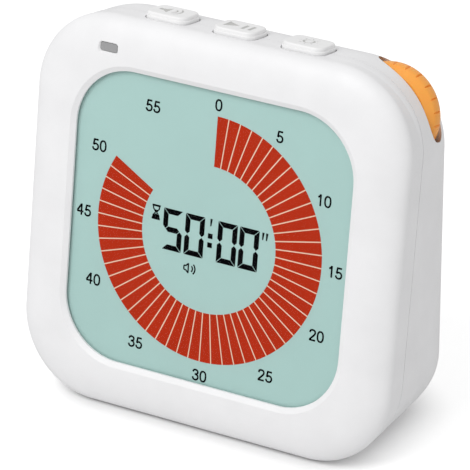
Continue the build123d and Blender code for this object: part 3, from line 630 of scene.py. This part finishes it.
# %% [markdown]
# ## Small signs on the screen
#
# Beside the digits stand an hourglass and a loudspeaker with two sound waves.  Minutes and seconds are
# marked by the usual one and two short strokes.  Icons could be brought in as pictures, but a few strokes
# and outlines do as well, and stay crisp like the rest of the print.

# %% Signs
HOURGLASS = (-12.75, 3.25)
SPEAKER_SIGN = (-3.95, -7.1)
glass = [
    [(-0.98, 1.2), (0.98, 1.2), (0.98, 1.62), (-0.98, 1.62)],
    [(-0.98, -1.62), (0.98, -1.62), (0.98, -1.2), (-0.98, -1.2)],
    stroke([(-0.72, 1.2), (-0.7, 0.75), (-0.12, 0), (-0.7, -0.75), (-0.72, -1.2)], 0.3),
    stroke([(0.72, 1.2), (0.7, 0.75), (0.12, 0), (0.7, -0.75), (0.72, -1.2)], 0.3),
    [(-0.45, 0.5), (0.45, 0.5), (0, -0.05)],
    [(-0.66, -1.2), (0.66, -1.2), (0.62, -0.85), (0, -0.25), (-0.62, -0.85)],
]
horn = [(-0.25, 1.05), (-0.85, 0.45), (-1.3, 0.45), (-1.3, -0.45), (-0.85, -0.45), (-0.25, -1.05)]
sound = [stroke(path, 0.3) for path in zip(horn, horn[1:] + horn[:1])]
for radius in (0.85, 1.45):
    sound.append(stroke(moved(arc(radius, 0.8, steps=16), -0.1, 0), 0.32))
tick = [(0.25, 3.1), (0.5, 3.1), (0.72, 4.7), (0.2, 4.7)]
signs = {
    "hourglass_sign": [moved(part, *HOURGLASS) for part in glass],
    "speaker_sign": [moved(part, *SPEAKER_SIGN) for part in sound],
    "minute_second_signs": [tick, moved(tick, 12.3, -0.15), moved(tick, 13.2, -0.15)],
}
for name, outlines in signs.items():
    plates(name, outlines, on_dial, black_ink)
print("signs:", list(signs))

# %% [markdown]
# ## Marks in the keys
#
# The marks on the keys are engraved, and their grey is painted shade: a grey plate on the floor of each
# engraving stands in for the shade that falls into it.  The engraving is in the CAD solids, so the
# painted shade is a thin plate on its floor.  A colour on the key's own faces would need them cut along
# the mark.  Each plate rides on its own key and sinks with it when it is pressed.

# %% Key marks in painted shade
ENGRAVED = 0.15
# how far the painted-shade plates stand above the engraving floor, in mm
SHADE_PLATE = 0.04
MARK_HALF = 1.8  # the marks are drawn with a half height of one and printed this large
key_top = reach("start_button", UP_FACE)[1] - face_up
key_depth = middle("start_button", INTO_FACE) - face_depth
# this grey is painted shade: it stands in for the shade inside the engravings
mark_shade_grey = moulded("mark_painted_shade", (0.56, 0.56, 0.545), 0.6, grain=0.12, depth=0.003)


def key_surface(name):
    """A function for places on the floor of a key's engraving."""
    key_across = middle(name, ACROSS)

    def on_key(a, b, height):
        return on_face(key_across + a * MARK_HALF, key_top - ENGRAVED + height, key_depth + b * MARK_HALF)

    return on_key


sound_mark = [[(-1.73, -0.4), (-1.13, -0.4), (-0.4, -1), (-0.4, 1), (-1.13, 0.4), (-1.73, 0.4)]]
for radius in (0.87, 1.47):
    sound_mark.append(stroke(moved(arc(radius, 0.9), -0.4, 0), 0.23))
start_mark = [
    [(-1.8, -1), (0.05, 0), (-1.8, 1)],
    [(0.4, -0.9), (0.85, -0.9), (0.85, 0.9), (0.4, 0.9)],
    [(1.3, -0.9), (1.75, -0.9), (1.75, 0.9), (1.3, 0.9)],
]
light_mark = [stroke(arc(0.63, pi / 2, facing), 0.25) for facing in (0, pi)]
for step in range(8):
    turn = step * pi / 4
    light_mark.append(stroke([(r * cos(turn), r * sin(turn)) for r in (0.93, 1.19)], 0.19))

marks = {"sound": sound_mark, "start": start_mark, "light": light_mark}
for name, mark in marks.items():
    surface = key_surface(f"{name}_button")
    plates(f"{name}_mark", mark, surface, mark_shade_grey, SHADE_PLATE, body=f"{name}_key")
print("key marks:", len(marks), "height:", round(key_top, 3), "depth:", round(key_depth, 3), "mm")

# %% [markdown]
# ## The floor
#
# The timer stands on a pale floor that should look white to the camera and still hold its shadow.  A
# brighter lamp would whiten the floor and burn out the timer with it.  The light path node tells which
# rays come from the camera: only those see a glow in the floor, so the timer is lit as before.  The glow
# starts a few millimetres outside a box round the feet and is full a little further out.  Close round the
# feet the floor keeps its real contact shadow, and where the glow is missing or weak the floor is painted
# darker than further out: painted shade round the timer.  The distance from that box is the length of
# what is left of a place when half the box is taken away.

# %% Floor
FLOOR_SIZE = 4.0
HALF_BOX = Vector((24, 10, 0)) * MM  # half of a box round the feet
GLOW_START, GLOW_FULL = 4.5 * MM, 20 * MM  # from that box
GLOW = 0.47

bpy.ops.mesh.primitive_plane_add(size=FLOOR_SIZE, location=(0, 0, 0))
floor = bpy.context.object
floor.name = "floor"
floor_paint, tree, shader, place = start_material("pale_floor")
rays = tree.nodes.new("ShaderNodeLightPath")
cloud = spread(tree, noise(tree, place, 60.0), 0, 1)
speckle = blend_colours(tree, cloud, (0.8, 0.8, 0.8), (0.82, 0.82, 0.82))
seen = blend_colours(tree, rays.outputs["Is Camera Ray"], speckle, (0.83, 0.83, 0.83))
tree.links.new(seen, shader.inputs["Base Color"])
shader.inputs["Roughness"].default_value = 0.9
shader.inputs["Specular IOR Level"].default_value = 0.0
left_over = place
for operation, amount in (("ABSOLUTE", (0, 0, 0)), ("SUBTRACT", HALF_BOX), ("MAXIMUM", (0, 0, 0))):
    step = tree.nodes.new("ShaderNodeVectorMath")
    step.operation = operation
    step.inputs[1].default_value = amount
    tree.links.new(left_over, step.inputs[0])
    left_over = step.outputs["Vector"]
away = tree.nodes.new("ShaderNodeVectorMath")
away.operation = "LENGTH"
tree.links.new(left_over, away.inputs[0])
# the glow fades out towards the feet, so the floor close round the timer gets painted shade on top of its
# real shadow
glow = tree.nodes.new("ShaderNodeMapRange")
glow.interpolation_type = "SMOOTHSTEP"
glow.inputs["From Min"].default_value = GLOW_START
glow.inputs["From Max"].default_value = GLOW_FULL
glow.inputs["To Min"].default_value = 0
glow.inputs["To Max"].default_value = GLOW
tree.links.new(away.outputs["Value"], glow.inputs["Value"])
only_seen = tree.nodes.new("ShaderNodeMath")
only_seen.operation = "MULTIPLY"
tree.links.new(glow.outputs["Result"], only_seen.inputs[0])
tree.links.new(rays.outputs["Is Camera Ray"], only_seen.inputs[1])
shader.inputs["Emission Color"].default_value = (1, 1, 1, 1)
tree.links.new(only_seen.outputs["Value"], shader.inputs["Emission Strength"])
floor.data.materials.append(floor_paint)
print("floor:", FLOOR_SIZE, "m")

# %% [markdown]
# ## The sky
#
# An even sky fills in the shadows, like a room with white walls.  Where it is seen, past the floor or
# mirrored in the plastic, it should be a bright white, but as a light it has to stay weaker than that.
# So the world has two strengths: the brighter one for rays from the camera and for mirrored and passing
# rays, and the weaker one for all that only lights.

# %% Sky
SKY_LIGHT = 0.65
SKY_SEEN = 0.8

world = bpy.data.worlds.new("studio")
bpy.context.scene.world = world
world.use_nodes = True
tree = world.node_tree
sky = tree.nodes["Background"]
sky.inputs["Color"].default_value = (1, 1, 1, 1)
sky.inputs["Strength"].default_value = SKY_LIGHT
white = tree.nodes.new("ShaderNodeBackground")
white.inputs["Color"].default_value = (1, 1, 1, 1)
white.inputs["Strength"].default_value = SKY_SEEN
rays = tree.nodes.new("ShaderNodeLightPath")
shows = rays.outputs["Is Camera Ray"]
for kind in ("Is Glossy Ray", "Is Transmission Ray"):
    either = tree.nodes.new("ShaderNodeMath")
    either.operation = "MAXIMUM"
    tree.links.new(shows, either.inputs[0])
    tree.links.new(rays.outputs[kind], either.inputs[1])
    shows = either.outputs["Value"]
mix = tree.nodes.new("ShaderNodeMixShader")
tree.links.new(shows, mix.inputs["Fac"])
tree.links.new(sky.outputs["Background"], mix.inputs[1])
tree.links.new(white.outputs["Background"], mix.inputs[2])
tree.links.new(mix.outputs["Shader"], tree.nodes["World Output"].inputs["Surface"])
print("sky:", SKY_LIGHT, "as a light,", SKY_SEEN, "where it is seen")

# %% [markdown]
# ## The lamp
#
# One large square lamp stands high in front, a little to the left.  It gives the face and the roof their
# light and leaves the right side in a soft shade, which shows the form.  Several lamps would cross their
# shadows.  Lamp and sky together light a surface about as bright as its colour says.

# %% Lamp
LAMP_PLACE = Vector((-0.155, -0.635, 0.76))
LAMP_AIM = Vector((0, 0, 0.045))
LAMP_SIZE = 0.55
LAMP_POWER = 3.9

lamp_data = bpy.data.lights.new("key_lamp", "AREA")
lamp_data.size = LAMP_SIZE
lamp_data.energy = LAMP_POWER
lamp = bpy.data.objects.new("key_lamp", lamp_data)
lamp.location = LAMP_PLACE
lamp.rotation_euler = (LAMP_AIM - LAMP_PLACE).to_track_quat("-Z", "Y").to_euler()
bpy.context.scene.collection.objects.link(lamp)
print("lamp:", LAMP_POWER, "W at", round((LAMP_PLACE - LAMP_AIM).length, 2), "m")

# %% [markdown]
# ## The camera
#
# A long lens from some way off keeps the timer's edges nearly parallel, as in a picture for a shop.  It
# looks down from the right.  It could be aimed by a constraint, but then the roll would be lost.  So its
# place is given from the centre of the dial, and its turn as three angles: tilted up from looking
# straight down, rolled by a hair, and turned to the left.

# %% Camera
FOCAL_LENGTH = 293.0
SENSOR_WIDTH = 36.0
CAMERA_OFFSET = Vector((361.5, -611.0, 340.5)) * MM
CAMERA_ANGLES = (64.4588, -0.0539, 30.1785)
DIAL_DEPTH = 1.4  # mm behind the face, for the point that the camera's place is given from

camera_data = bpy.data.cameras.new("camera")
camera_data.sensor_width = SENSOR_WIDTH
camera_data.lens = FOCAL_LENGTH
camera = bpy.data.objects.new("camera", camera_data)
camera.location = on_face(0, DIAL_UP, DIAL_DEPTH) + CAMERA_OFFSET
camera.rotation_euler = [radians(angle) for angle in CAMERA_ANGLES]
bpy.context.scene.collection.objects.link(camera)
bpy.context.scene.camera = camera
bpy.context.scene.view_settings.view_transform = "Standard"
print("camera at", [round(part, 4) for part in camera.location], "m")

# %% [markdown]
# ## Last update
#
# At the end the view layer is updated, so every part stands where it was put.

# %% Update
bpy.context.view_layer.update()
